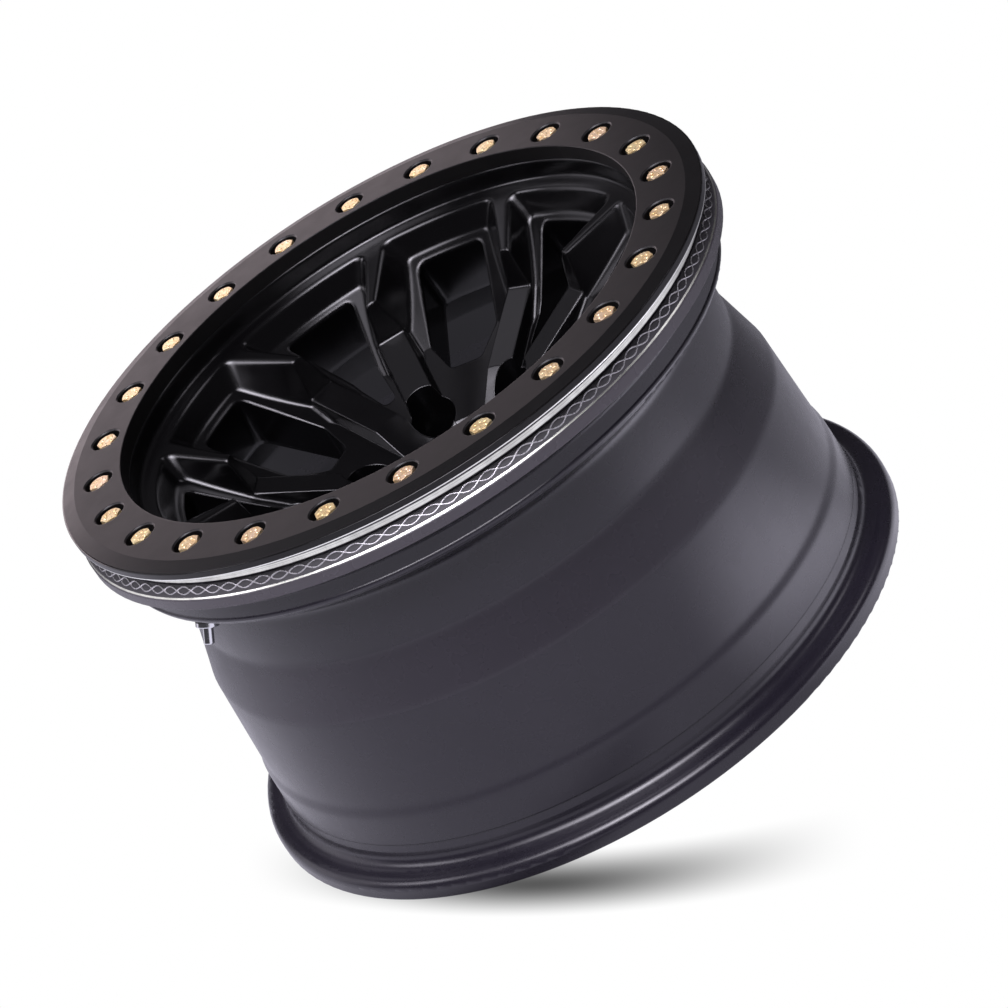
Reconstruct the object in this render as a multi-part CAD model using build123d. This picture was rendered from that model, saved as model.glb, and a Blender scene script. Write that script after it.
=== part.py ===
from build123d import *
import os
from math import atan2, cos, degrees, hypot, radians, sin, tan

# Seventeen inch beadlock wheel, millimetres. The wheel rests on its rear lip, face up.
# The origin is the middle of the rest face and +Z is the wheel's axis, out of the face.
# Angles go round +Z from +X. One V of the spokes and one lug hole both point along +X.
# A depth is measured down from the ring's face, a height up from the rest face.

# Overall
overall_width = 277.0

# Beadlock ring
ring_inner_radius = 188.3
ring_outer_radius = 233.5
ring_thickness = 10.6
ring_lip_thickness = 7.3
ring_bevel_width = 10.5
ring_bevel_drop = 2.4
ring_edge_round = 0.8
ring_bore_round = 0.6

# Ring bolts
bolt_count = 24
bolt_circle_radius = 205.0
bolt_size = 8.0
bolt_head_flats = 13.0
bolt_head_height = 5.3
bolt_head_sink = 1.0
bolt_grip = 22.0
bolt_fit = 0.1
bolt_tap_extra = 2.0
bolt_pocket_radius = 10.2
bolt_pocket_chamfer = 0.9
bolt_hole_play = 0.5
bolt_point_chamfer = 1.0
bolt_turn_step = 23.0

# Front edge of the casting, bare metal: register, relief, knurled cone and flange
register_radius = 226.4
register_height = 5.1
relief_width = 1.0
relief_depth = 1.2
cone_width = 5.7
cone_height = 5.9
flange_lip = 1.4
flange_edge = 1.6
flange_width = 6.8

# Barrel, outside, going from the flange to the drop
hump_radius = 220.5
hump_lead = 1.5
hump_slope_drop = 7.0
hump_lead_drop = 2.0
hump_depth = 54.5
hump_round = 3.0
drop_radius = 199.6
drop_depth = 67.5
drop_round = 6.0
drop_width = 41.5

# Barrel, outside, going up from the rest face
lip_radius = 236.0
lip_rest_width = 11.0
lip_rest_round = 1.5
lip_face_height = 14.0
lip_round = 7.0
lip_root_round = 8.0
seat_rear_radius = 218.2
seat_rear_height = 25.0
seat_line_rise = 6.0
seat_line_depth = 0.6
seat_front_radius = 216.9
seat_front_height = 54.0
barrel_rear_radius = 215.0
barrel_rear_height = 60.0
barrel_break_radius = 210.6
barrel_break_height = 128.0
barrel_wall = 7.5

# Face of the casting inside the ring
rim_step_radius = 187.5
rim_step_depth = 23.6
rim_step_round = 2.0
land_inner_radius = 178.5
pocket_wall_run = 6.0
pocket_wall_drop = 16.5
floor_break_radius = 115.0
floor_break_depth = 83.5
floor_hub_radius = 52.0
floor_hub_depth = 110.0
back_rim_depth = 73.5
back_slope = 0.5

# Hub
pad_radius = 82.0
pad_flare = 10.0
pad_depth = 143.0
hub_bore_radius = 39.05
hub_bore_length = 18.0
cap_bore_radius = 49.5
cap_bore_chamfer = 2.0
lug_count = 6
lug_circle_radius = 63.5
lug_pocket_radius = 15.6
lug_seat_rise = 16.0
lug_seat_radius = 12.3
lug_seat_angle = 60.0
lug_hole_radius = 7.5

# Spokes: five Vs, each with two bars that rise in a steep facet to a ridge
spoke_count = 5
bar_angle = 13.3
bar_width = 20.1
bar_heading = 15.8
bar_break_radius = 128.6
bar_break_depth = 69.0
bar_slope = 0.40
bar_root = 15.0
bar_end_radius = 73.0
bar_end_run = 18.0
bar_end_drop = 15.5
ridge_end_radius = 134.45
ridge_end_depth = 42.0
ridge_end_width = 7.66
ridge_heading = 38.2
ridge_length = 50.0
ridge_rim_width = 13.0
ridge_rim_flank = 0.80
ridge_root = 28.0
ridge_head = 4.0
wide_pocket_corner = 10.0
narrow_pocket_corner = 7.0
pocket_root_round = 3.5
top_round = 2.8
break_round = 2.0

# Windows between the Vs, in a frame whose x axis runs out along the window's middle
wide_outer_radius = 166.5
wide_outer_half = 25.0
wide_outer_flare = 9.0
wide_waist_place = 112.0
wide_waist_half = 25.4
wide_inner_place = 91.5
wide_inner_half = 12.0
wide_corner = 6.5

# Windows inside the Vs
narrow_outer_radius = 168.0
narrow_outer_half = 28.0
narrow_waist_place = 122.0
narrow_waist_half = 10.0
narrow_inner_place = 94.0
narrow_inner_half = 4.6
narrow_outer_flare = 9.0
narrow_corner = 4.0

# Valve, at the middle of one window, square to the front wall of the drop
valve_angle = 180.0
valve_shank_radius = 4.0
valve_hole_play = 0.4
valve_wall = 10.0
valve_pocket_radius = 8.0
valve_pocket_length = 70.0
valve_flange_radius = 7.5
valve_flange_height = 3.0
valve_flange_round = 0.5
valve_tail_radius = 3.5
valve_tail_length = 11.0
valve_tail_chamfer = 0.6
valve_stem_length = 38.0
valve_bore_radius = 2.2
valve_bore_depth = 22.0
grommet_height = 2.0
washer_radius = 7.0
washer_height = 1.4
nut_flats = 12.0
nut_height = 5.0
core_radius = 1.9
core_length = 17.0
core_sink = 2.0
cap_radius = 5.2
cap_length = 17.0
cap_grip = 11.0
cap_chamfer = 0.8
cap_end_gap = 0.3
thread_fit = 0.1

# Heights that follow from the sizes above
face_height = overall_width
seat_height = face_height - ring_thickness
head_top = face_height - bolt_head_sink
head_seat = head_top - bolt_head_height
register_foot = seat_height - register_height
cone_top = register_foot - relief_width
cone_foot = cone_top - cone_height
flange_radius = register_radius + cone_width + flange_lip
flange_foot = cone_foot - flange_edge - flange_width
hump_height = face_height - hump_depth
drop_front_height = face_height - drop_depth
drop_rear_height = drop_front_height - drop_width
pad_height = face_height - pad_depth
cap_bore_floor = pad_height + hub_bore_length
bar_break_height = face_height - bar_break_depth
ridge_end_height = face_height - ridge_end_depth
top_slope = (ridge_end_depth - rim_step_depth) / (rim_step_radius - ridge_end_radius)
land_inner_height = ridge_end_height + top_slope * (land_inner_radius - ridge_end_radius)
ledge_radius = land_inner_radius - pocket_wall_run
ledge_height = land_inner_height - pocket_wall_drop
spoke_step = 360.0 / spoke_count
facet_length = hypot(ridge_end_radius - bar_break_radius, ridge_end_height - bar_break_height)
facet_flank = (bar_width - ridge_end_width) / 2 / facet_length

# Nearness at which a point counts as lying on a surface
touch = 0.05
# Nearness of an edge's middle to the end of a ridge or the foot of a facet
end_reach = 0.2
break_reach = 1.0


def revolved(points, rounds=()):
    """Solid of revolution about Z from (radius, height) points; rounds are (point, fillet radius) pairs."""
    section = make_face(Polyline(*points, close=True))
    for point, radius in rounds:
        vertex = section.vertices().sort_by_distance(Vector(*point, 0))[0]
        section = fillet(vertex, radius)
    return revolve(Plane.XZ * section, Axis.Z, 360)


def around(shape, count, start=0.0):
    """Copies of a shape at equal steps round Z."""
    return [Rot(0, 0, start + i * 360.0 / count) * shape for i in range(count)]


def polar(radius, angle):
    return radius * cos(radians(angle)), radius * sin(radians(angle))


def cylinder(radius, bottom, top):
    return Pos(0, 0, bottom) * extrude(Circle(radius), amount=top - bottom)


def floor_height(radius):
    """Height of the pocket floor between the hub and its break."""
    share = (radius - floor_hub_radius) / (floor_break_radius - floor_hub_radius)
    return face_height - floor_hub_depth + share * (floor_hub_depth - floor_break_depth)


def casting_body():
    """Rim, pocket floor and hub as one turned body."""
    seat_taper = (seat_rear_radius - seat_front_radius) / (seat_front_height - seat_rear_height)
    line_height = seat_rear_height + seat_line_rise
    line_radius = seat_rear_radius - seat_taper * seat_line_rise
    inner_drop = drop_radius - barrel_wall
    back_rim_height = face_height - back_rim_depth
    boss_radius = pad_radius + pad_flare
    hub_edge = cap_bore_radius + cap_bore_chamfer
    hump_corner = (hump_radius, hump_height)
    drop_corner = (drop_radius, drop_front_height)
    lip_root = (seat_rear_radius, lip_face_height)
    lip_crest = (lip_radius, lip_face_height)
    lip_heel = (lip_radius, 0)
    wall_top_radius = ledge_radius + pocket_wall_run * (seat_height - ledge_height) / pocket_wall_drop
    points = [
        (register_radius, seat_height),
        (register_radius, register_foot),
        (register_radius - relief_depth, register_foot),
        (register_radius - relief_depth, cone_top),
        (register_radius, cone_top),
        (register_radius + cone_width, cone_foot),
        (flange_radius, cone_foot - flange_edge),
        (flange_radius, flange_foot),
        (hump_radius + hump_lead, flange_foot - hump_slope_drop),
        (hump_radius, flange_foot - hump_slope_drop - hump_lead_drop),
        hump_corner,
        drop_corner,
        (drop_radius, drop_rear_height),
        (barrel_break_radius, barrel_break_height),
        (barrel_rear_radius, barrel_rear_height),
        (seat_front_radius, seat_front_height),
        (line_radius, line_height),
        (line_radius - seat_line_depth, line_height),
        (line_radius - seat_line_depth, line_height - seat_line_depth),
        (seat_rear_radius, seat_rear_height),
        lip_root,
        lip_crest,
        lip_heel,
        (lip_radius - lip_rest_round - lip_rest_width, 0),
        (seat_rear_radius - barrel_wall, lip_face_height),
        (barrel_rear_radius - barrel_wall, barrel_rear_height),
        (barrel_break_radius - barrel_wall, barrel_break_height),
        (inner_drop, drop_rear_height),
        (inner_drop, back_rim_height),
        (boss_radius, back_rim_height - back_slope * (inner_drop - boss_radius)),
        (pad_radius, pad_height),
        (hub_bore_radius, pad_height),
        (hub_bore_radius, cap_bore_floor),
        (cap_bore_radius, cap_bore_floor),
        (cap_bore_radius, floor_height(hub_edge) - cap_bore_chamfer),
        (hub_edge, floor_height(hub_edge)),
        (floor_break_radius, face_height - floor_break_depth),
        (ledge_radius, ledge_height),
        (wall_top_radius, seat_height),
    ]
    rounds = [
        (hump_corner, hump_round),
        (drop_corner, drop_round),
        (lip_root, lip_root_round),
        (lip_crest, lip_round),
        (lip_heel, lip_rest_round),
    ]
    return revolved(points, rounds)


def top_height(radius):
    """Height of the cone that the rim's land and the ridges' tops lie on."""
    return ridge_end_height + top_slope * (radius - ridge_end_radius)


def dish():
    """Space in front of the rim's land and the ridges, out to the ring."""
    rim_step = (rim_step_radius, face_height - rim_step_depth)
    points = [
        (0, top_height(0)),
        rim_step,
        (ring_inner_radius, seat_height),
        (ring_inner_radius, face_height),
        (0, face_height),
    ]
    return revolved(points, [(rim_step, rim_step_round)])


def trapezoid(plane, top, top_half, flank, depth):
    """Flat section whose sides spread by the flank's run for each unit down from its half width at 0."""
    head_half = top_half - flank * top
    foot_half = top_half + flank * depth
    corners = [(head_half, top), (foot_half, -depth), (-foot_half, -depth), (-head_half, top)]
    return plane * make_face(Polyline(*corners, close=True))


def facet_plane(radius, height):
    """Plane of the steep facet above the bar, with its origin at the given radius and height."""
    radial = Vector(*polar(1, bar_angle), 0)
    across = Vector(*polar(1, bar_angle + 90), 0)
    rise = Vector(0, 0, ridge_end_height - bar_break_height)
    facet_up = (radial * (ridge_end_radius - bar_break_radius) + rise).normalized()
    return Plane(origin=(*polar(radius, bar_angle), height), x_dir=across, z_dir=across.cross(facet_up))


def ridge_rim_place():
    """Plan position of the ridge's middle where it runs into the rim."""
    end_x, end_y = polar(ridge_end_radius, bar_angle)
    out_x, out_y = polar(ridge_length, ridge_heading)
    return end_x + out_x, end_y + out_y


def ridge():
    """Ridge on the side of the V that turns left: its inner end is the steep facet above the bar."""
    facet = facet_plane(ridge_end_radius, ridge_end_height)
    inner = trapezoid(facet, ridge_head, ridge_end_width / 2, facet_flank, facet_length + bar_root)
    side = Vector(*polar(1, ridge_heading + 90), 0)
    rim_x, rim_y = ridge_rim_place()
    rim_height = top_height(hypot(rim_x, rim_y))
    rim = Plane(origin=(rim_x, rim_y, rim_height), x_dir=side, z_dir=side.cross(Vector(0, 0, 1)))
    outer = trapezoid(rim, ridge_head, ridge_rim_width / 2, ridge_rim_flank, ridge_root)
    return loft([inner, outer], ruled=True)


def bar():
    """Bar on the side of the V that turns left: a straight run from the foot of the facet to the hub."""
    facet = facet_plane(bar_break_radius, bar_break_height)
    section = trapezoid(facet, 0, bar_width / 2, facet_flank, bar_root)
    to_hub = Vector(*polar(-1, bar_heading), -bar_slope)
    run = extrude(section, amount=(bar_break_radius - cap_bore_radius) * hypot(1, bar_slope), dir=to_hub)
    return run & bar_end()


def bar_end():
    """Solid outside the cone that the bars' hub ends lie on."""
    end_height = bar_break_height - bar_slope * (bar_break_radius - bar_end_radius)
    end_slope = bar_end_drop / bar_end_run
    outer_radius = bar_break_radius
    foot_radius = bar_end_radius - (end_height - pad_height) / end_slope
    points = [
        (foot_radius, pad_height),
        (rim_step_radius, pad_height),
        (rim_step_radius, end_height + end_slope * (outer_radius - bar_end_radius)),
        (outer_radius, end_height + end_slope * (outer_radius - bar_end_radius)),
    ]
    return revolved(points)


def both_sides(half):
    """All copies of a piece of the V's left side, and of its mirror image."""
    return around(half, spoke_count) + around(mirror(half, about=Plane.XZ), spoke_count)


def polar_place(point):
    return hypot(point.X, point.Y), point.Z


def lies_on(edge, surface):
    """True where points along the whole edge lie on a surface given as a function of (radius, height)."""
    return all(surface(*polar_place(edge.position_at(share))) for share in (0.0, 0.3, 0.5, 0.7, 1.0))


def on_floor(radius, height):
    if radius < floor_break_radius:
        return abs(height - floor_height(radius)) < touch
    slope = (ledge_height - floor_height(floor_break_radius)) / (ledge_radius - floor_break_radius)
    return abs(height - floor_height(floor_break_radius) - slope * (radius - floor_break_radius)) < touch


def on_top(radius, height):
    within = ridge_end_radius - touch < radius < land_inner_radius + touch
    return within and abs(height - top_height(radius)) < touch


def corner_edges(solid, inside):
    """Upright edges between the ridges and the rim's wall, in the pockets inside the Vs or between them."""
    rim_x, rim_y = ridge_rim_place()
    ridge_rim_angle = degrees(atan2(rim_y, rim_x))
    edges = []
    for edge in solid.edges():
        middle = edge.center()
        radius, height = polar_place(middle)
        turn = degrees(atan2(middle.Y, middle.X)) % spoke_step
        from_mid = min(turn, spoke_step - turn)
        level = ledge_height < height < land_inner_height and ledge_radius < radius < land_inner_radius
        rises = abs(edge.start_point().Z - edge.end_point().Z) > pocket_wall_drop / 2
        if level and rises and (from_mid < ridge_rim_angle) == inside:
            edges.append(edge)
    return edges


def root_edges(solid, least, most):
    """Edges where the ridges, the bars and the rim's wall meet the floor, between two radii."""
    edges = []
    for edge in solid.edges():
        radius = polar_place(edge.center())[0]
        ends = [polar_place(point)[0] for point in (edge.start_point(), edge.end_point())]
        floor_break = all(abs(end - floor_break_radius) < touch for end in ends)
        if least < radius < most and lies_on(edge, on_floor) and not floor_break:
            edges.append(edge)
    return edges


def top_edges(solid):
    """Edges round the pockets on the land and along the ridges, without the ridges' short ends."""
    edges = []
    for edge in solid.edges():
        radius = polar_place(edge.center())[0]
        if lies_on(edge, on_top) and radius > ridge_end_radius + end_reach:
            edges.append(edge)
    return edges


def break_edges(solid):
    """Edges at the foot of each facet."""
    edges = []
    for edge in solid.edges():
        radius, height = polar_place(edge.center())
        if abs(radius - bar_break_radius) < break_reach and abs(height - bar_break_height) < touch:
            edges.append(edge)
    return edges


def spoke_face():
    """Casting with its spokes and pockets, and with the pockets' corners, roots and edges rounded."""
    half = bar() + ridge()
    solid = casting_body() + both_sides(half) - dish()
    solid = fillet(corner_edges(solid, False), wide_pocket_corner)
    solid = fillet(corner_edges(solid, True), narrow_pocket_corner)
    roots = root_edges(solid, bar_break_radius - ridge_end_width, land_inner_radius)
    solid = fillet(roots, pocket_root_round)
    solid = fillet(top_edges(solid), top_round)
    return fillet(break_edges(solid), break_round)


def window_plan(points, outer_radius, corner):
    """Flat outline of a window: straight sides on one side mirrored to the other, and an arc at the rim."""
    outer_half = points[0]
    outer_place = (outer_radius ** 2 - outer_half ** 2) ** 0.5
    side = [(outer_place, outer_half)] + points[1:]
    sides = Polyline(*[(x, -y) for x, y in side], *[(x, y) for x, y in reversed(side)])
    rim_arc = ThreePointArc((outer_place, outer_half), (outer_radius, 0), (outer_place, -outer_half))
    plan = make_face(sides + rim_arc)
    return fillet(plan.vertices(), corner)


def window_cutter(front, back):
    """Hole right through the floor between a front and a back outline."""
    return loft([Pos(0, 0, ledge_height) * front, Pos(0, 0, pad_height) * back], ruled=True)


def wide_window():
    waist = (wide_waist_place, wide_waist_half)
    sides = [wide_outer_half, waist, (wide_inner_place, wide_inner_half)]
    front = window_plan(sides, wide_outer_radius, wide_corner)
    back = window_plan(sides, wide_outer_radius + wide_outer_flare, wide_corner)
    return window_cutter(front, back)


def narrow_window():
    waist = (narrow_waist_place, narrow_waist_half)
    sides = [narrow_outer_half, waist, (narrow_inner_place, narrow_inner_half)]
    front = window_plan(sides, narrow_outer_radius, narrow_corner)
    back = window_plan(sides, narrow_outer_radius + narrow_outer_flare, narrow_corner)
    return window_cutter(front, back)


def lug_hole():
    seat_height_here = pad_height + lug_seat_rise
    seat_drop = (lug_seat_radius - lug_hole_radius) / tan(radians(lug_seat_angle / 2))
    points = [
        (0, pad_height - lug_seat_rise),
        (lug_hole_radius, pad_height - lug_seat_rise),
        (lug_hole_radius, seat_height_here - seat_drop),
        (lug_seat_radius, seat_height_here),
        (lug_pocket_radius, seat_height_here),
        (lug_pocket_radius, face_height),
        (0, face_height),
    ]
    return Pos(lug_circle_radius, 0, 0) * revolved(points)


def bolt_ring(radius, bottom, top):
    """Round holes on the ring bolt circle."""
    hole = Pos(bolt_circle_radius, 0, 0) * cylinder(radius, bottom, top)
    return around(hole, bolt_count, 180.0 / bolt_count)


# Valve frame: the origin is on the tyre side of the drop's front wall, +z goes out towards the tyre
wall_radius = (hump_radius + drop_radius) / 2
wall_height = (hump_height + drop_front_height) / 2
wall_tilt = degrees(atan2(hump_height - drop_front_height, hump_radius - drop_radius))
valve_place = Rot(0, 0, valve_angle) * Pos(wall_radius, 0, wall_height)
valve_plane = Plane.XY * valve_place * Rot(0, 180 - wall_tilt, 0)


def valve_turned(points):
    """Turned piece on the valve's axis from (radius, place) points, place being towards the tyre."""
    return valve_plane * revolved(points)


def rod(radius, start, end):
    return valve_turned([(0, start), (radius, start), (radius, end), (0, end)])


def wheel():
    solid = spoke_face()
    solid -= cylinder(cap_bore_radius, cap_bore_floor, face_height)
    solid -= around(wide_window(), spoke_count, spoke_step / 2)
    solid -= around(narrow_window(), spoke_count)
    solid -= around(lug_hole(), lug_count)
    solid -= bolt_ring(bolt_size / 2 + bolt_fit, head_seat - bolt_grip - bolt_tap_extra, face_height)
    solid -= rod(valve_shank_radius + valve_hole_play, -valve_wall - washer_height, valve_flange_radius)
    solid -= rod(valve_pocket_radius, -valve_pocket_length, -valve_wall)
    return solid


def beadlock_ring():
    lip_foot = face_height - ring_lip_thickness
    bevel_foot = (ring_outer_radius, face_height - ring_bevel_drop)
    bore_top = (ring_inner_radius, face_height)
    points = [
        (ring_inner_radius, seat_height),
        (register_radius, seat_height),
        (register_radius, lip_foot),
        (ring_outer_radius, lip_foot),
        bevel_foot,
        (ring_outer_radius - ring_bevel_width, face_height),
        bore_top,
    ]
    solid = revolved(points, [(bevel_foot, ring_edge_round), (bore_top, ring_bore_round)])
    solid -= bolt_ring(bolt_size / 2 + bolt_hole_play, seat_height, face_height)
    mouth_radius = bolt_pocket_radius + bolt_pocket_chamfer
    pocket = revolved([
        (0, head_seat),
        (bolt_pocket_radius, head_seat),
        (bolt_pocket_radius, face_height - bolt_pocket_chamfer),
        (mouth_radius, face_height),
        (0, face_height),
    ])
    return solid - around(Pos(bolt_circle_radius, 0, 0) * pocket, bolt_count, 180.0 / bolt_count)


def ring_bolt():
    """Hex bolt with its head's corners turned off at the top and a chamfered point."""
    corner = bolt_head_flats / 2 / cos(radians(30))
    head = Pos(0, 0, head_seat) * extrude(RegularPolygon(corner, 6), amount=bolt_head_height)
    crown = revolved([
        (0, head_seat),
        (bolt_head_flats, head_seat),
        (bolt_head_flats, head_top - bolt_head_flats / 2 * tan(radians(30))),
        (bolt_head_flats / 2, head_top),
        (0, head_top),
    ])
    point = head_seat - bolt_grip
    shank = revolved([
        (0, point),
        (bolt_size / 2 - bolt_point_chamfer, point),
        (bolt_size / 2, point + bolt_point_chamfer),
        (bolt_size / 2, head_top),
        (0, head_top),
    ])
    return (head & crown) + shank


def beadlock_bolts():
    """All ring bolts, each stopped at a turn of its own."""
    bolt = ring_bolt()
    bolts = []
    for i in range(bolt_count):
        place = Rot(0, 0, (i + 0.5) * 360.0 / bolt_count) * Pos(bolt_circle_radius, 0, 0)
        bolts.append(place * Rot(0, 0, i * bolt_turn_step) * bolt)
    return Compound(bolts)


def valve_stem():
    tail_foot = grommet_height + valve_flange_height
    tail_end = tail_foot + valve_tail_length
    return valve_turned([
        (0, tail_end),
        (valve_tail_radius - valve_tail_chamfer, tail_end),
        (valve_tail_radius, tail_end - valve_tail_chamfer),
        (valve_tail_radius, tail_foot),
        (valve_flange_radius - valve_flange_round, tail_foot),
        (valve_flange_radius, tail_foot - valve_flange_round),
        (valve_flange_radius, grommet_height),
        (valve_shank_radius, grommet_height),
        (valve_shank_radius, -valve_stem_length),
        (valve_bore_radius, -valve_stem_length),
        (valve_bore_radius, -valve_stem_length + valve_bore_depth),
        (0, -valve_stem_length + valve_bore_depth),
    ])


def collar(outer, start, end):
    """Plain ring round the stem."""
    inner = valve_shank_radius + thread_fit
    return valve_turned([(inner, start), (outer, start), (outer, end), (inner, end)])


def valve_grommet():
    return collar(valve_flange_radius, 0, grommet_height)


def valve_washer():
    return collar(washer_radius, -valve_wall - washer_height, -valve_wall)


def valve_nut():
    top = -valve_wall - washer_height
    corner = nut_flats / 2 / cos(radians(30))
    hexagon = RegularPolygon(corner, 6) - Circle(valve_shank_radius + thread_fit)
    return valve_plane * Pos(0, 0, top - nut_height) * extrude(hexagon, amount=nut_height)


def valve_core():
    start = -valve_stem_length + core_sink
    return rod(core_radius, start, start + core_length)


def valve_cap():
    mouth = -valve_stem_length + cap_grip
    end = mouth - cap_length
    inner = valve_shank_radius + thread_fit
    return valve_turned([
        (0, end),
        (cap_radius - cap_chamfer, end),
        (cap_radius, end + cap_chamfer),
        (cap_radius, mouth),
        (inner, mouth),
        (inner, -valve_stem_length - cap_end_gap),
        (0, -valve_stem_length - cap_end_gap),
    ])


pieces = {
    "wheel": wheel,
    "beadlock_ring": beadlock_ring,
    "beadlock_bolts": beadlock_bolts,
    "valve_stem": valve_stem,
    "valve_grommet": valve_grommet,
    "valve_washer": valve_washer,
    "valve_nut": valve_nut,
    "valve_core": valve_core,
    "valve_cap": valve_cap,
}

os.makedirs("parts", exist_ok=True)
for name, make in pieces.items():
    export_step(make(), f"parts/{name}.step")
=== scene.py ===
"""Looks of the beadlock wheel: finishes, fine ridges, floor, light and camera. Units are metres."""

from math import atan2, cos, hypot, pi, radians, sin

import bpy
from mathutils import Matrix, Vector


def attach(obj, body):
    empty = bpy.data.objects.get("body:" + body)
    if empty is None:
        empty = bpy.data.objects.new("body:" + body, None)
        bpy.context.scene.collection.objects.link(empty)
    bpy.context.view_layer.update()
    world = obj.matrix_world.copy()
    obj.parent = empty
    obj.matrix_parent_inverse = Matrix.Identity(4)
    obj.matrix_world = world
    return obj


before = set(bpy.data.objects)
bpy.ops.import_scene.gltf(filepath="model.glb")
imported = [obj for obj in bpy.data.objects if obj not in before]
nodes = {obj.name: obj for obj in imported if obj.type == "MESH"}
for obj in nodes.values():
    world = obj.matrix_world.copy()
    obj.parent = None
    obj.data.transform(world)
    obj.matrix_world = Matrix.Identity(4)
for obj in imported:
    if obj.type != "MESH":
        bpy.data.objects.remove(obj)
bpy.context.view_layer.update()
scene = bpy.context.scene
mm = 0.001

# Front edge of the casting: height of the ring's face, and radius and height of the knurled cone's two ends
face_height = 277.0 * mm
knurl_top = (226.4 * mm, 260.8 * mm)
knurl_foot = (231.7 * mm, 254.4 * mm)

# Ring bolts, as in the solid
bolt_circle_radius = 205.0 * mm
bolt_count = 24
bolt_head_top = 276.0 * mm
bolt_turn_step = 23.0

# Raised dashes on the bolt heads: count, inner and outer radius, half width, rise, and the share of the
# outline and of the rise at each step up
dash_count = 6
dash_inner = 2.9 * mm
dash_outer = 5.4 * mm
dash_half = 0.7 * mm
dash_rise = 0.4 * mm
dash_steps = ((1.0, 0.0), (0.85, 0.7), (0.55, 1.0))

# Knurled chain: links round the rim, half the chain's width, its place down the cone, the width and height
# of its lines, their section as shares of both, and the points along one link
link_count = 110
chain_half = 2.35 * mm
chain_share = 0.48
chain_line = 1.05 * mm
chain_rise = 0.45 * mm
chain_section = ((-0.5, -0.2), (-0.34, 0.6), (0.0, 1.0), (0.34, 0.6), (0.5, -0.2))
points_per_link = 14

# Bead on the hump: radius of the hump, height, half width, rise, depth in the solid, and its fineness
hump_radius = 220.5 * mm
bead_height = 225.6 * mm
bead_half = 2.2 * mm
bead_rise = 0.82 * mm
bead_sink = 0.2 * mm
bead_points = 13
bead_steps = 300

# All textures: detail where none is given, and how strong their fine part is
noise_detail = 3.0
noise_roughness = 0.55

# Zones of the casting: the radius beyond which each begins, and the heights of its foot and top
outside_radius = 199.0 * mm
cone_zone = (226.1 * mm, 254.6 * mm, 261.2 * mm)
# The bare register ends below the ring, so the coat above it is a darker line under the ring's lip: painted
# shade
register_zone = (226.0 * mm, 261.8 * mm, 265.2 * mm)
edge_zone = (231.2 * mm, 253.5 * mm, 254.45 * mm)
slope_zone = (outside_radius, 128.0 * mm, 168.0 * mm)
flange_zone = (outside_radius, 246.0 * mm, face_height)

# Colours of the casting, darker and lighter: spokes, barrel, cone and bare metal
black_coat = ((0.0012, 0.0011, 0.0013), (0.0020, 0.0019, 0.0021))
barrel_coat = ((0.010, 0.0088, 0.0135), (0.013, 0.0115, 0.017))
cone_coat = ((0.022, 0.021, 0.024), (0.034, 0.032, 0.036))
turned_metal = ((0.64, 0.65, 0.58), (0.88, 0.90, 0.80))

# Painted light: a paler tone on the flange's side, standing in for light that falls there, and its share on
# the slope behind the drop; and stains on the bare metal
painted_light_tone = (0.048, 0.043, 0.051)
painted_light_slope_share = 0.18
stain_metal = (0.35, 0.35, 0.31)
stain_share = 0.45
stain_range = (0.45, 0.65)

# Gloss of the casting's coat, and roughness of its zones
casting_gloss = 0.45
inside_rough = (0.16, 0.20)
outside_rough = (0.25, 0.30)
cone_rough = 0.55
metal_rough = (0.22, 0.34)

# Textures of the casting: fineness per metre, detail, and height of the peel, the barrel's lines and the
# lathe marks
slow_scale = 12.0
satin_scale = 50.0
stain_scale = 70.0
stain_detail = 4.0
peel_scale = 1500.0
peel_detail = 2.0
peel_depth = 0.02 * mm
line_scale = 700.0
line_detail = 3.0
line_depth = 0.02 * mm
lathe_scale = 1800.0
lathe_detail = 2.0
lathe_depth = 0.03 * mm

# Ring: coat, its change of tone, gloss, roughness and grain, the radius beyond which it is glossy, and the
# bare line at its foot
ring_coat = (0.004, 0.0037, 0.0037)
ring_tones = (0.85, 1.15)
ring_gloss = 0.3
ring_rough = (0.39, 0.45)
ring_slow_scale = 14.0
ring_satin_scale = 60.0
ring_grain_scale = 1800.0
ring_grain_detail = 2.0
ring_grain_depth = 0.015 * mm
ring_edge_radius = 232.4 * mm
ring_edge_rough = 0.16
ring_bare_top = 270.45 * mm
ring_metal = (0.85, 0.86, 0.80)

# Plated and polished metal: fineness of the slow drift, the patches, the roughness and the grain, the range
# and the share of the drift, the change of roughness, and the grain's height
plate_drift_scale = 11.0
plate_drift_detail = 1.0
plate_patch_scale = 260.0
plate_rough_scale = 500.0
plate_grain_scale = 2500.0
plate_grain_detail = 2.0
drift_range = (0.4, 0.6)
drift_share = 0.8
plate_rough_swing = 0.05
plate_grain_depth = 0.02 * mm

# Plated pieces: colour, colour of the patches, roughness, share of metal, and colour of the slow drift
zinc_plate = ((0.95, 0.82, 0.46), (0.78, 0.52, 0.22), 0.3, 0.6, (0.95, 0.70, 0.56))
bright_plate = ((0.75, 0.76, 0.78), (0.68, 0.69, 0.71), 0.14)
washer_plate = ((0.6, 0.6, 0.58), (0.5, 0.5, 0.5), 0.3)
core_plate = ((0.65, 0.5, 0.22), (0.6, 0.44, 0.2), 0.3)
knurl_plate = ((0.62, 0.61, 0.62), (0.5, 0.49, 0.5), 0.28)

# Rubber: darker and lighter colour, roughness, fineness of both and of the grain, and the grain's height
rubber_coat = ((0.012, 0.012, 0.012), (0.03, 0.03, 0.03))
rubber_rough = (0.65, 0.8)
rubber_tone_scale = 150.0
rubber_rough_scale = 400.0
rubber_grain_scale = 3000.0
rubber_grain_depth = 0.03 * mm

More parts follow.
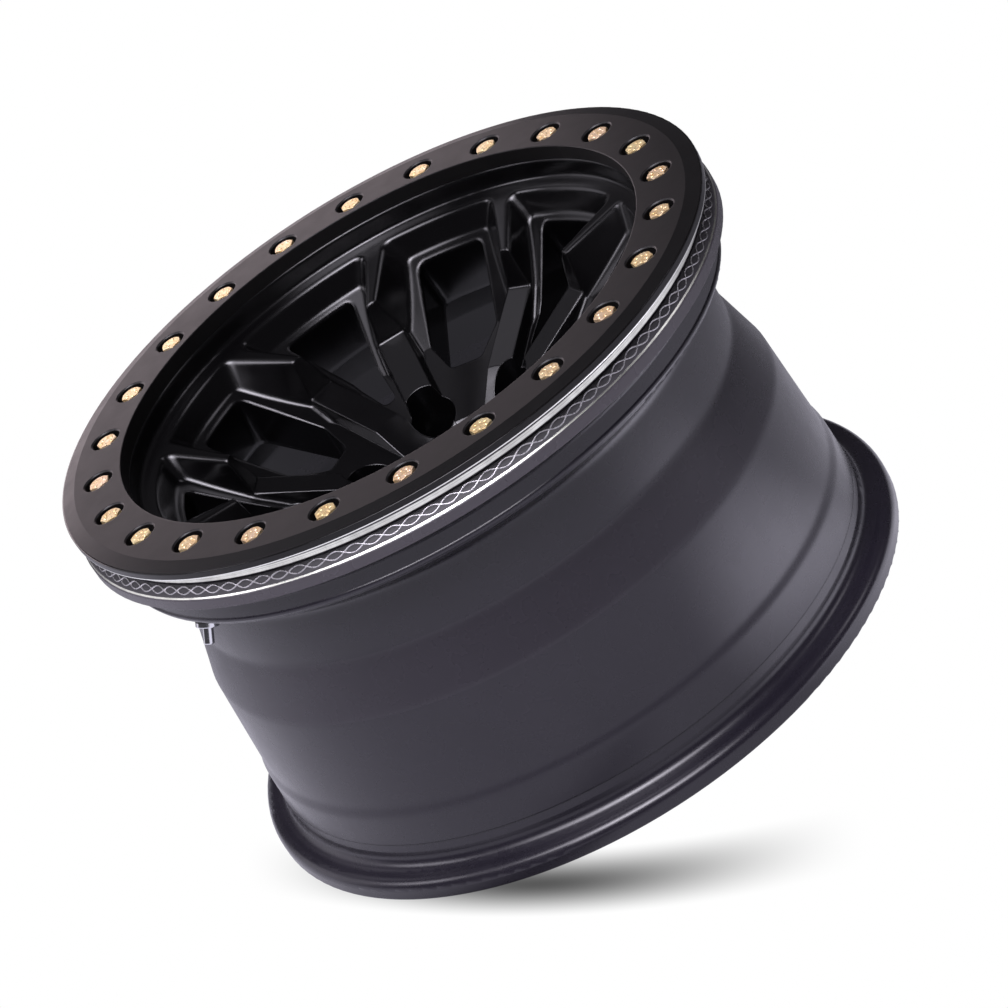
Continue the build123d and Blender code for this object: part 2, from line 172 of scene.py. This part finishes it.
# Rounding that the finish gives to sharp edges: turned edges, the cast face near the hub and near the rim,
# and the barrel's corners between two heights
edge_samples = 12
edge_round = 0.6 * mm
hub_round = 1.3 * mm
hub_round_radius = 105.0 * mm
rim_round = 4.2 * mm
rim_round_radius = 145.0 * mm
barrel_foot = 36.0 * mm
barrel_top = 216.0 * mm
barrel_round = 7.0 * mm

# Camera: rotation rows and offset in a frame turned about the wheel's axis, in units of the bolt circle's
# radius, and the height of that frame
camera_rows = ((0.69775, -0.53039, -0.48148), (0.63834, 0.15539, 0.75391), (-0.32505, -0.83339, 0.44699))
camera_offset = Vector((-0.4016, 0.5437, -12.3674))
camera_turn = radians(7.5)
camera_base = 276.0 * mm
camera_lens = 142.35
camera_sensor = 36.0
camera_far = 100.0

# Floor: half its side, how far below the wheel's rest face it lies, its grey, and its tint in reflections
floor_half = 30.0
floor_gap = 0.3 * mm
floor_grey = (0.6, 0.6, 0.6)
floor_tint = (0.97, 0.94, 1.10)

# Painted shadow on the floor: its middle, the two directions over which it fades out, its bend, both fades
# and its depth
shadow_middle = (-0.195, -0.146, 0.0)
shadow_along = (3.25, -3.13, 0.0)
shadow_across = (-33.0, -8.2, 0.0)
shadow_bend = 1.18
fade_along = 2.0
fade_across = 1.5
shadow_depth = 0.9

# Side of the floor that mirrors all its light, the share that the far side mirrors, and where they begin
bright_angle = -18.0
dark_floor = 0.22
bright_place = 0.01
dark_place = -0.5

# Floor inside the wheel: its radius, and the share of light that it mirrors
under_radius = 200.0 * mm
under_share = 0.65

# Glowing patch painted on the floor, seen only in reflections: angle from the camera's side, distance,
# inner and outer radius, and brightness
patch_angle = 53.0
patch_reach = 0.37
patch_inner = 0.05
patch_outer = 0.18
patch_level = 2.4

# Studio: tint, dim level, and a pale horizon with its brightness, and the rise and the half width in
# degrees over which it fades out
studio_tint = (0.98, 0.94, 1.05)
room_level = 0.06
horizon_level = 0.7
horizon_rise = (0.5, 5.0)
horizon_half = (80.0, 115.0)

# Glowing patches: angle from the camera's side, rise, inner and outer half width in degrees, and brightness
glows = (
    (-42.0, 56.0, 8.0, 18.0, 8.0),
    (-10.0, 64.0, 9.0, 18.0, 11.0),
    (14.0, 62.0, 4.0, 12.0, 4.0),
    (-125.0, 16.0, 10.0, 24.0, 1.0),
    (-153.0, 44.0, 4.0, 16.0, 0.65),
    (0.0, 87.0, 6.0, 14.0, 2.0),
    (-15.0, 62.0, 3.0, 9.0, 10.0),
    (-176.0, 68.0, 5.0, 12.0, 0.3),
    (-100.0, 40.0, 4.0, 12.0, 7.0),
    (96.0, 40.0, 3.0, 11.0, 3.0),
)

# Soft boxes: place as angle, distance and height, then width and height, brightness and tint
ring_box = ((-157.0, 0.84, 0.425), (1.25, 0.26), 2.8, (1.0, 0.85, 0.9))
bead_box = ((-18.0, 1.2, 1.3), (1.5, 0.4), 10.0, (0.95, 0.92, 1.0))


class Graph:
    """Shader nodes of one material or world, with short calls to add and join them."""

    def __init__(self, owner):
        owner.use_nodes = True
        self.tree = owner.node_tree
        self.tree.nodes.clear()

    def add(self, kind, settings=None, **inputs):
        node = self.tree.nodes.new(kind)
        for name, value in (settings or {}).items():
            setattr(node, name, value)
        for name, value in inputs.items():
            self.put(node.inputs[name.replace("_", " ")], value)
        return node

    def put(self, socket, value):
        if isinstance(value, bpy.types.NodeSocket):
            self.tree.links.new(value, socket)
        else:
            socket.default_value = value

    def math(self, operation, first, second=0.0):
        node = self.tree.nodes.new("ShaderNodeMath")
        node.operation = operation
        self.put(node.inputs[0], first)
        self.put(node.inputs[1], second)
        return node.outputs[0]

    def vector(self, operation, first, second):
        """Result of a vector operation that gives one value, or else the vector."""
        node = self.add("ShaderNodeVectorMath", {"operation": operation})
        self.put(node.inputs[0], first)
        self.put(node.inputs[1], second)
        one_value = operation in ("DOT_PRODUCT", "DISTANCE")
        return node.outputs["Value" if one_value else "Vector"]

    def between(self, value, low, high):
        """1 where value lies between two limits, 0 elsewhere."""
        above = self.math("GREATER_THAN", value, low)
        below = self.math("LESS_THAN", value, high)
        return self.math("MULTIPLY", above, below)

    def zone(self, radius, height, limits):
        """1 in a zone that begins at a radius and lies between two heights, 0 elsewhere."""
        inner, foot, top = limits
        beyond = self.math("GREATER_THAN", radius, inner)
        return self.math("MULTIPLY", beyond, self.between(height, foot, top))

    def noise(self, vector, scale, detail=noise_detail):
        node = self.add("ShaderNodeTexNoise", Vector=vector, Scale=scale, Detail=detail)
        self.put(node.inputs["Roughness"], noise_roughness)
        return node.outputs["Fac"]

    def spread(self, value, low, high, smooth_from=0.3, smooth_to=0.7):
        """Maps a texture's usual range to a range of values."""
        node = self.tree.nodes.new("ShaderNodeMapRange")
        for socket, given in zip(node.inputs, (value, smooth_from, smooth_to, low, high)):
            self.put(socket, given)
        return node.outputs[0]

    def mix(self, share, first, second):
        """Mixes two values."""
        node = self.tree.nodes.new("ShaderNodeMix")
        node.data_type = "FLOAT"
        for socket, given in zip((node.inputs[0], node.inputs[2], node.inputs[3]), (share, first, second)):
            self.put(socket, given)
        return node.outputs[0]

    def mix_colour(self, share, first, second):
        """Mixes two colours."""
        node = self.tree.nodes.new("ShaderNodeMix")
        node.data_type = "RGBA"
        for socket, given in zip((node.inputs[0], node.inputs[6], node.inputs[7]), (share, first, second)):
            self.put(socket, given)
        return node.outputs[2]

    def tones(self, texture, pair):
        """Colour that goes from a darker to a lighter one with a texture."""
        return self.mix_colour(self.spread(texture, 0.0, 1.0), colour(pair[0]), colour(pair[1]))

    def bump(self, height, distance, normal=None):
        node = self.add("ShaderNodeBump", Height=height, Distance=distance, Strength=1.0)
        if normal is not None:
            self.put(node.inputs["Normal"], normal)
        return node.outputs["Normal"]

    def soft_edges(self, radius):
        """Normal that rounds sharp edges."""
        return self.add("ShaderNodeBevel", {"samples": edge_samples}, Radius=radius).outputs["Normal"]

    def place(self):
        """Place on the object, its distance from the wheel's axis, and its height."""
        point = self.add("ShaderNodeTexCoord").outputs["Object"]
        split = self.add("ShaderNodeSeparateXYZ", Vector=point)
        flat = self.add("ShaderNodeCombineXYZ", X=split.outputs["X"], Y=split.outputs["Y"])
        length = self.add("ShaderNodeVectorMath", {"operation": "LENGTH"})
        self.put(length.inputs[0], flat.outputs[0])
        return point, length.outputs["Value"], split.outputs["Z"]

    def turned(self, radius, height, scale, detail):
        """Noise that runs in circles round the axis, as a lathe leaves it."""
        profile = self.add("ShaderNodeCombineXYZ", Y=radius, Z=height)
        return self.noise(profile.outputs[0], scale, detail)

    def surface(self, shader):
        output = self.add("ShaderNodeOutputMaterial")
        self.put(output.inputs["Surface"], shader)


def colour(tone):
    """Opaque colour for a shader."""
    return (*tone, 1.0)


def ring_finish():
    """Satin coat with fine grain and slow changes of tone, glossy at the rim, and bare at its foot."""
    material = bpy.data.materials.new("ring_finish")
    graph = Graph(material)
    point, radius, height = graph.place()
    slow = graph.noise(point, ring_slow_scale)
    grain = graph.noise(point, ring_grain_scale, ring_grain_detail)
    satin = graph.spread(graph.noise(point, ring_satin_scale), *ring_rough)
    edge = graph.math("GREATER_THAN", radius, ring_edge_radius)
    bare = graph.math("MULTIPLY", edge, graph.math("LESS_THAN", height, ring_bare_top))
    coat = graph.tones(slow, [[share * part for part in ring_coat] for share in ring_tones])
    shader = graph.add(
        "ShaderNodeBsdfPrincipled",
        Base_Color=graph.mix_colour(bare, coat, colour(ring_metal)),
        Metallic=bare,
        Roughness=graph.mix(edge, satin, ring_edge_rough),
        Normal=graph.bump(grain, ring_grain_depth, graph.soft_edges(edge_round)),
    )
    shader.inputs["Specular IOR Level"].default_value = ring_gloss
    graph.surface(shader.outputs[0])
    return material


def casting_finish():
    """Black coat on the spokes, violet-grey coat on the barrel with painted light on the flange's side and
    the slope behind the drop, and bare metal on the clamp's edge.
    """
    material = bpy.data.materials.new("casting_finish")
    graph = Graph(material)
    point, radius, height = graph.place()
    outside = graph.math("GREATER_THAN", radius, outside_radius)
    cone = graph.zone(radius, height, cone_zone)
    # Painted shade: coat instead of bare metal between the register's top and the ring
    register = graph.zone(radius, height, register_zone)
    bare = graph.math("MAXIMUM", register, graph.zone(radius, height, edge_zone))
    # Painted light: a paler tone on the flange's side and, at a share, on the slope behind the drop
    slope = graph.math("MULTIPLY", graph.zone(radius, height, slope_zone), painted_light_slope_share)
    painted_light = graph.math("MAXIMUM", slope, graph.zone(radius, height, flange_zone))

    slow = graph.noise(point, slow_scale)
    coat = graph.mix_colour(outside, graph.tones(slow, black_coat), graph.tones(slow, barrel_coat))
    coat = graph.mix_colour(painted_light, coat, colour(painted_light_tone))
    coat = graph.mix_colour(cone, coat, graph.tones(slow, cone_coat))

    lathe = graph.turned(radius, height, lathe_scale, lathe_detail)
    stain = graph.spread(graph.noise(point, stain_scale, stain_detail), 0.0, stain_share, *stain_range)
    metal = graph.mix_colour(stain, graph.tones(lathe, turned_metal), colour(stain_metal))

    satin = graph.noise(point, satin_scale)
    rough = graph.mix(outside, graph.spread(satin, *inside_rough), graph.spread(satin, *outside_rough))
    rough = graph.mix(cone, rough, cone_rough)

    cast_round = graph.spread(radius, hub_round, rim_round, hub_round_radius, rim_round_radius)
    turned_round = graph.mix(graph.between(height, barrel_foot, barrel_top), edge_round, barrel_round)
    rounded = graph.soft_edges(graph.mix(outside, cast_round, turned_round))
    peel = graph.bump(graph.noise(point, peel_scale, peel_detail), peel_depth, rounded)
    barrel_lines = graph.mix(outside, 0.0, graph.turned(radius, height, line_scale, line_detail))
    lines = graph.bump(barrel_lines, line_depth, peel)
    shader = graph.add(
        "ShaderNodeBsdfPrincipled",
        Base_Color=graph.mix_colour(bare, coat, metal),
        Metallic=bare,
        Roughness=graph.mix(bare, rough, graph.spread(lathe, *metal_rough)),
        Normal=graph.bump(graph.math("MULTIPLY", lathe, bare), lathe_depth, lines),
    )
    shader.inputs["Specular IOR Level"].default_value = casting_gloss
    graph.surface(shader.outputs[0])
    return material


def plate_finish(name, tone, patch, roughness, metallic=1.0, drift=None):
    """Plated or polished metal with patches of a second colour, and a third that comes and goes slowly."""
    material = bpy.data.materials.new(name)
    graph = Graph(material)
    point = graph.place()[0]
    patches = graph.spread(graph.noise(point, plate_patch_scale), 0.0, 1.0)
    slow = graph.noise(point, plate_drift_scale, plate_drift_detail)
    slow = graph.spread(slow, 0.0, drift_share, *drift_range)
    main = graph.mix_colour(slow, colour(tone), colour(drift or tone))
    rough = graph.noise(point, plate_rough_scale)
    grain = graph.noise(point, plate_grain_scale, plate_grain_detail)
    shader = graph.add(
        "ShaderNodeBsdfPrincipled",
        Base_Color=graph.mix_colour(patches, main, colour(patch)),
        Metallic=metallic,
        Roughness=graph.spread(rough, roughness - plate_rough_swing, roughness + plate_rough_swing),
        Normal=graph.bump(grain, plate_grain_depth),
    )
    graph.surface(shader.outputs[0])
    return material


def rubber_finish():
    """Matt rubber with fine grain."""
    material = bpy.data.materials.new("rubber_finish")
    graph = Graph(material)
    point = graph.place()[0]
    dark, light = [colour(tone) for tone in rubber_coat]
    shader = graph.add(
        "ShaderNodeBsdfPrincipled",
        Base_Color=graph.mix_colour(graph.noise(point, rubber_tone_scale), dark, light),
        Roughness=graph.spread(graph.noise(point, rubber_rough_scale), *rubber_rough),
        Normal=graph.bump(graph.noise(point, rubber_grain_scale), rubber_grain_depth),
    )
    graph.surface(shader.outputs[0])
    return material


def dress(node, material):
    """Gives a solid one finish."""
    mesh = nodes[node].data
    mesh.materials.clear()
    mesh.materials.append(material)


def mesh_piece(name, points, faces, material):
    """Makes a smooth piece of the object that rides with the wheel."""
    mesh = bpy.data.meshes.new(name)
    mesh.from_pydata(points, [], faces)
    mesh.validate()
    mesh.polygons.foreach_set("use_smooth", [True] * len(mesh.polygons))
    mesh.materials.append(material)
    piece = bpy.data.objects.new(name, mesh)
    scene.collection.objects.link(piece)
    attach(piece, "root")
    return piece


def on_cone(angle, along, out):
    """Point on the knurled cone: angle round the axis, distance down the cone, and distance off it."""
    run = knurl_foot[0] - knurl_top[0]
    drop = knurl_foot[1] - knurl_top[1]
    length = hypot(run, drop)
    radius = knurl_top[0] + run * along / length - drop * out / length
    height = knurl_top[1] + drop * along / length + run * out / length
    return radius * cos(angle), radius * sin(angle), height


def knurled_chain(material):
    """Two wavy ridges that cross at every link."""
    length = hypot(knurl_foot[0] - knurl_top[0], knurl_foot[1] - knurl_top[1])
    middle = chain_share * length
    steps = link_count * points_per_link
    reach = 2 * pi * knurl_top[0] / steps
    points = []
    faces = []
    for side in (1.0, -1.0):
        start = len(points)
        for step in range(steps):
            angle = 2 * pi * step / steps
            wave = side * sin(pi * step / points_per_link)
            slope = side * cos(pi * step / points_per_link) * chain_half * pi / points_per_link / reach
            stretch = hypot(1.0, slope)
            for across, up in chain_section:
                along = middle + chain_half * wave + across * chain_line / stretch
                turn = angle - across * chain_line * slope / stretch / knurl_top[0]
                points.append(on_cone(turn, along, up * chain_rise))
        count = len(chain_section)
        for step in range(steps):
            here = start + step * count
            there = start + (step + 1) % steps * count
            for i in range(count - 1):
                faces.append((here + i, here + i + 1, there + i + 1, there + i))
    return mesh_piece("knurled_chain", points, faces, material)


def hump_bead(material):
    """Fine round bead on the hump, which keeps the tyre's bead on its seat."""
    points = []
    faces = []
    for step in range(bead_steps):
        angle = 2 * pi * step / bead_steps
        for point in range(bead_points):
            swing = pi * point / (bead_points - 1)
            radius = hump_radius - bead_sink + (bead_sink + bead_rise) * sin(swing) ** 2
            points.append((radius * cos(angle), radius * sin(angle), bead_height - bead_half * cos(swing)))
    for step in range(bead_steps):
        here = step * bead_points
        there = (step + 1) % bead_steps * bead_points
        for point in range(bead_points - 1):
            faces.append((here + point, there + point, there + point + 1, here + point + 1))
    return mesh_piece("hump_bead", points, faces, material)


def bolt_dashes(material):
    """Short raised dashes round the top of every bolt head, each head at its own turn."""
    corners = [(end, side * dash_half) for end, side in
               ((dash_inner, -1), (dash_outer, -1), (dash_outer, 1), (dash_inner, 1))]
    middle = (dash_inner + dash_outer) / 2
    count = len(corners)
    top = count * (len(dash_steps) - 1)
    points = []
    faces = []
    for bolt in range(bolt_count):
        place = radians((bolt + 0.5) * 360.0 / bolt_count)
        for dash in range(dash_count):
            turn = place + radians(bolt * bolt_turn_step + (dash + 0.5) * 360.0 / dash_count)
            start = len(points)
            for shrink, lift in dash_steps:
                for along, across in corners:
                    out = middle + (along - middle) * shrink
                    x = bolt_circle_radius * cos(place) + out * cos(turn) - across * shrink * sin(turn)
                    y = bolt_circle_radius * sin(place) + out * sin(turn) + across * shrink * cos(turn)
                    points.append((x, y, bolt_head_top + lift * dash_rise))
            for foot in range(0, top, count):
                for side in range(count):
                    here = start + foot + side
                    there = start + foot + (side + 1) % count
                    faces.append((here, there, there + count, here + count))
            faces.append(tuple(start + top + side for side in range(count)))
    return mesh_piece("bolt_dashes", points, faces, material)


def painted_shadow_on(graph, point):
    """Depth of the bent soft shadow painted on the floor at a place."""
    offset = graph.vector("SUBTRACT", point, shadow_middle)
    reach = [graph.vector("DOT_PRODUCT", offset, axis) for axis in (shadow_along, shadow_across)]
    along = graph.math("MULTIPLY", reach[0], reach[0])
    bent = graph.math("ADD", reach[1], graph.math("MULTIPLY", along, shadow_bend))
    across = graph.math("MULTIPLY", bent, bent)
    shade_along = graph.math("POWER", graph.spread(along, 1.0, 0.0, 0.0, 1.0), fade_along)
    shade_across = graph.math("POWER", graph.spread(across, 1.0, 0.0, 0.0, 1.0), fade_across)
    return graph.math("MULTIPLY", graph.math("MULTIPLY", shade_along, shade_across), shadow_depth)


def make_floor():
    """Pale floor, white to the camera, with a soft shadow painted close to the wheel's rear lip and a
    glowing patch painted on it that shows only in reflections.
    """
    corners = [(x * floor_half, y * floor_half, 0) for x, y in ((-1, -1), (1, -1), (1, 1), (-1, 1))]
    mesh = bpy.data.meshes.new("floor")
    mesh.from_pydata(corners, [], [(0, 1, 2, 3)])
    floor = bpy.data.objects.new("floor", mesh)
    floor.location.z = -floor_gap
    scene.collection.objects.link(floor)
    material = bpy.data.materials.new("floor_finish")
    graph = Graph(material)
    path = graph.add("ShaderNodeLightPath")
    mirrored = graph.math("MAXIMUM", path.outputs["Is Glossy Ray"], path.outputs["Is Transmission Ray"])
    point, radius = graph.place()[:2]
    # Painted shadow: the floor's glow drops near the wheel's rear lip, and no lamp casts it
    seen = graph.math("SUBTRACT", 1.0, painted_shadow_on(graph, point))
    facing = graph.vector("DOT_PRODUCT", point, around_wheel(bright_angle, 1.0, 0.0))
    grey = graph.spread(facing, dark_floor, 1.0, dark_place, bright_place)
    under = graph.math("LESS_THAN", radius, under_radius)
    grey = graph.math("MULTIPLY", grey, graph.mix(under, 1.0, under_share))
    # Painted glowing patch, which only reflections show
    from_patch = graph.vector("DISTANCE", point, around_wheel(patch_angle, patch_reach, 0.0))
    patch = graph.spread(from_patch, patch_level, 0.0, patch_inner, patch_outer)
    shown = graph.mix(mirrored, seen, graph.math("MULTIPLY", seen, graph.math("ADD", grey, patch)))
    to_eye = graph.math("MAXIMUM", mirrored, path.outputs["Is Camera Ray"])
    lit = graph.add("ShaderNodeBsdfDiffuse", Color=colour(floor_grey))
    tint = graph.mix_colour(mirrored, colour((1, 1, 1)), colour(floor_tint))
    glow = graph.add("ShaderNodeEmission", Color=tint, Strength=shown)
    mixed = graph.add("ShaderNodeMixShader", Fac=to_eye)
    graph.put(mixed.inputs[1], lit.outputs[0])
    graph.put(mixed.inputs[2], glow.outputs[0])
    graph.surface(mixed.outputs[0])
    mesh.materials.append(material)


def make_world():
    """White backdrop for the camera, and a dim studio with soft glowing patches for everything else."""
    world = bpy.data.worlds.new("studio")
    scene.world = world
    graph = Graph(world)
    path = graph.add("ShaderNodeLightPath")
    direction = graph.add("ShaderNodeTexCoord").outputs["Generated"]
    upward = graph.add("ShaderNodeSeparateXYZ", Vector=direction).outputs["Z"]
    low, high = [sin(radians(limit)) for limit in horizon_rise]
    near, far = [cos(radians(limit)) for limit in horizon_half]
    front = graph.vector("DOT_PRODUCT", direction, around_wheel(0.0, 1.0, 0.0))
    band = graph.spread(upward, horizon_level, 0.0, low, high)
    total = graph.math("MULTIPLY", band, graph.spread(front, 0.0, 1.0, far, near))
    total = graph.math("ADD", total, room_level)
    for angle, rise, inner, outer, level in glows:
        axis = around_wheel(angle, cos(radians(rise)), sin(radians(rise)))
        facing = graph.vector("DOT_PRODUCT", direction, axis)
        share = graph.spread(facing, 0.0, level, cos(radians(outer)), cos(radians(inner)))
        total = graph.math("ADD", share, total)
    strength = graph.mix(path.outputs["Is Camera Ray"], total, 1.0)
    tint = graph.mix_colour(path.outputs["Is Camera Ray"], colour(studio_tint), colour((1, 1, 1)))
    background = graph.add("ShaderNodeBackground", Color=tint, Strength=strength)
    output = graph.add("ShaderNodeOutputWorld")
    graph.put(output.inputs["Surface"], background.outputs[0])


def soft_light(name, box, target, lit):
    """Soft box that faces a target and lights some pieces, with its brightness as seen in a mirror."""
    where, (width, height), level, tint = box
    place = Vector(around_wheel(*where))
    data = bpy.data.lights.new(name, "AREA")
    data.shape = "RECTANGLE"
    data.size = width
    data.size_y = height
    data.energy = level * pi * width * height
    data.color = tint
    light = bpy.data.objects.new(name, data)
    light.location = place
    light.rotation_mode = "QUATERNION"
    light.rotation_quaternion = (Vector(target) - place).to_track_quat("-Z", "Y")
    light.visible_camera = False
    group = bpy.data.collections.new(name + "_lit")
    for piece in lit:
        group.objects.link(piece)
    light.light_linking.receiver_collection = group
    scene.collection.objects.link(light)


def make_camera():
    """Camera that was fitted to the photograph."""
    data = bpy.data.cameras.new("camera")
    data.lens = camera_lens
    data.sensor_width = camera_sensor
    data.clip_end = camera_far
    camera = bpy.data.objects.new("camera", data)
    to_camera = Matrix(camera_rows) @ Matrix.Rotation(camera_turn, 3, "Z")
    back = to_camera.transposed()
    place = back @ (-camera_offset) * bolt_circle_radius + Vector((0, 0, camera_base))
    camera.matrix_world = Matrix.Translation(place) @ back.to_quaternion().to_matrix().to_4x4()
    scene.collection.objects.link(camera)
    scene.camera = camera
    return camera


def around_wheel(angle, reach, rise):
    """Place round the wheel: angle from the camera's side, distance from the axis, and height."""
    turn = view_side + radians(angle)
    return reach * cos(turn), reach * sin(turn), rise


camera = make_camera()
view_side = atan2(camera.location.y, camera.location.x)

casting = casting_finish()
zinc = plate_finish("zinc_finish", *zinc_plate)
bright = plate_finish("bright_finish", *bright_plate)
dress("wheel", casting)
dress("beadlock_ring", ring_finish())
dress("beadlock_bolts", zinc)
for bright_node in ("valve_stem", "valve_nut", "valve_cap"):
    dress(bright_node, bright)
dress("valve_washer", plate_finish("washer_finish", *washer_plate))
dress("valve_core", plate_finish("core_finish", *core_plate))
dress("valve_grommet", rubber_finish())

knurled_chain(plate_finish("knurl_finish", *knurl_plate))
bead = hump_bead(casting)
dashes = bolt_dashes(zinc)

make_floor()
make_world()
ring_side = (nodes["beadlock_ring"], nodes["beadlock_bolts"], dashes)
soft_light("ring_box", ring_box, (0, 0, face_height), ring_side)
soft_light("bead_box", bead_box, around_wheel(0.0, hump_radius, bead_height), (bead,))

scene.view_settings.view_transform = "Standard"
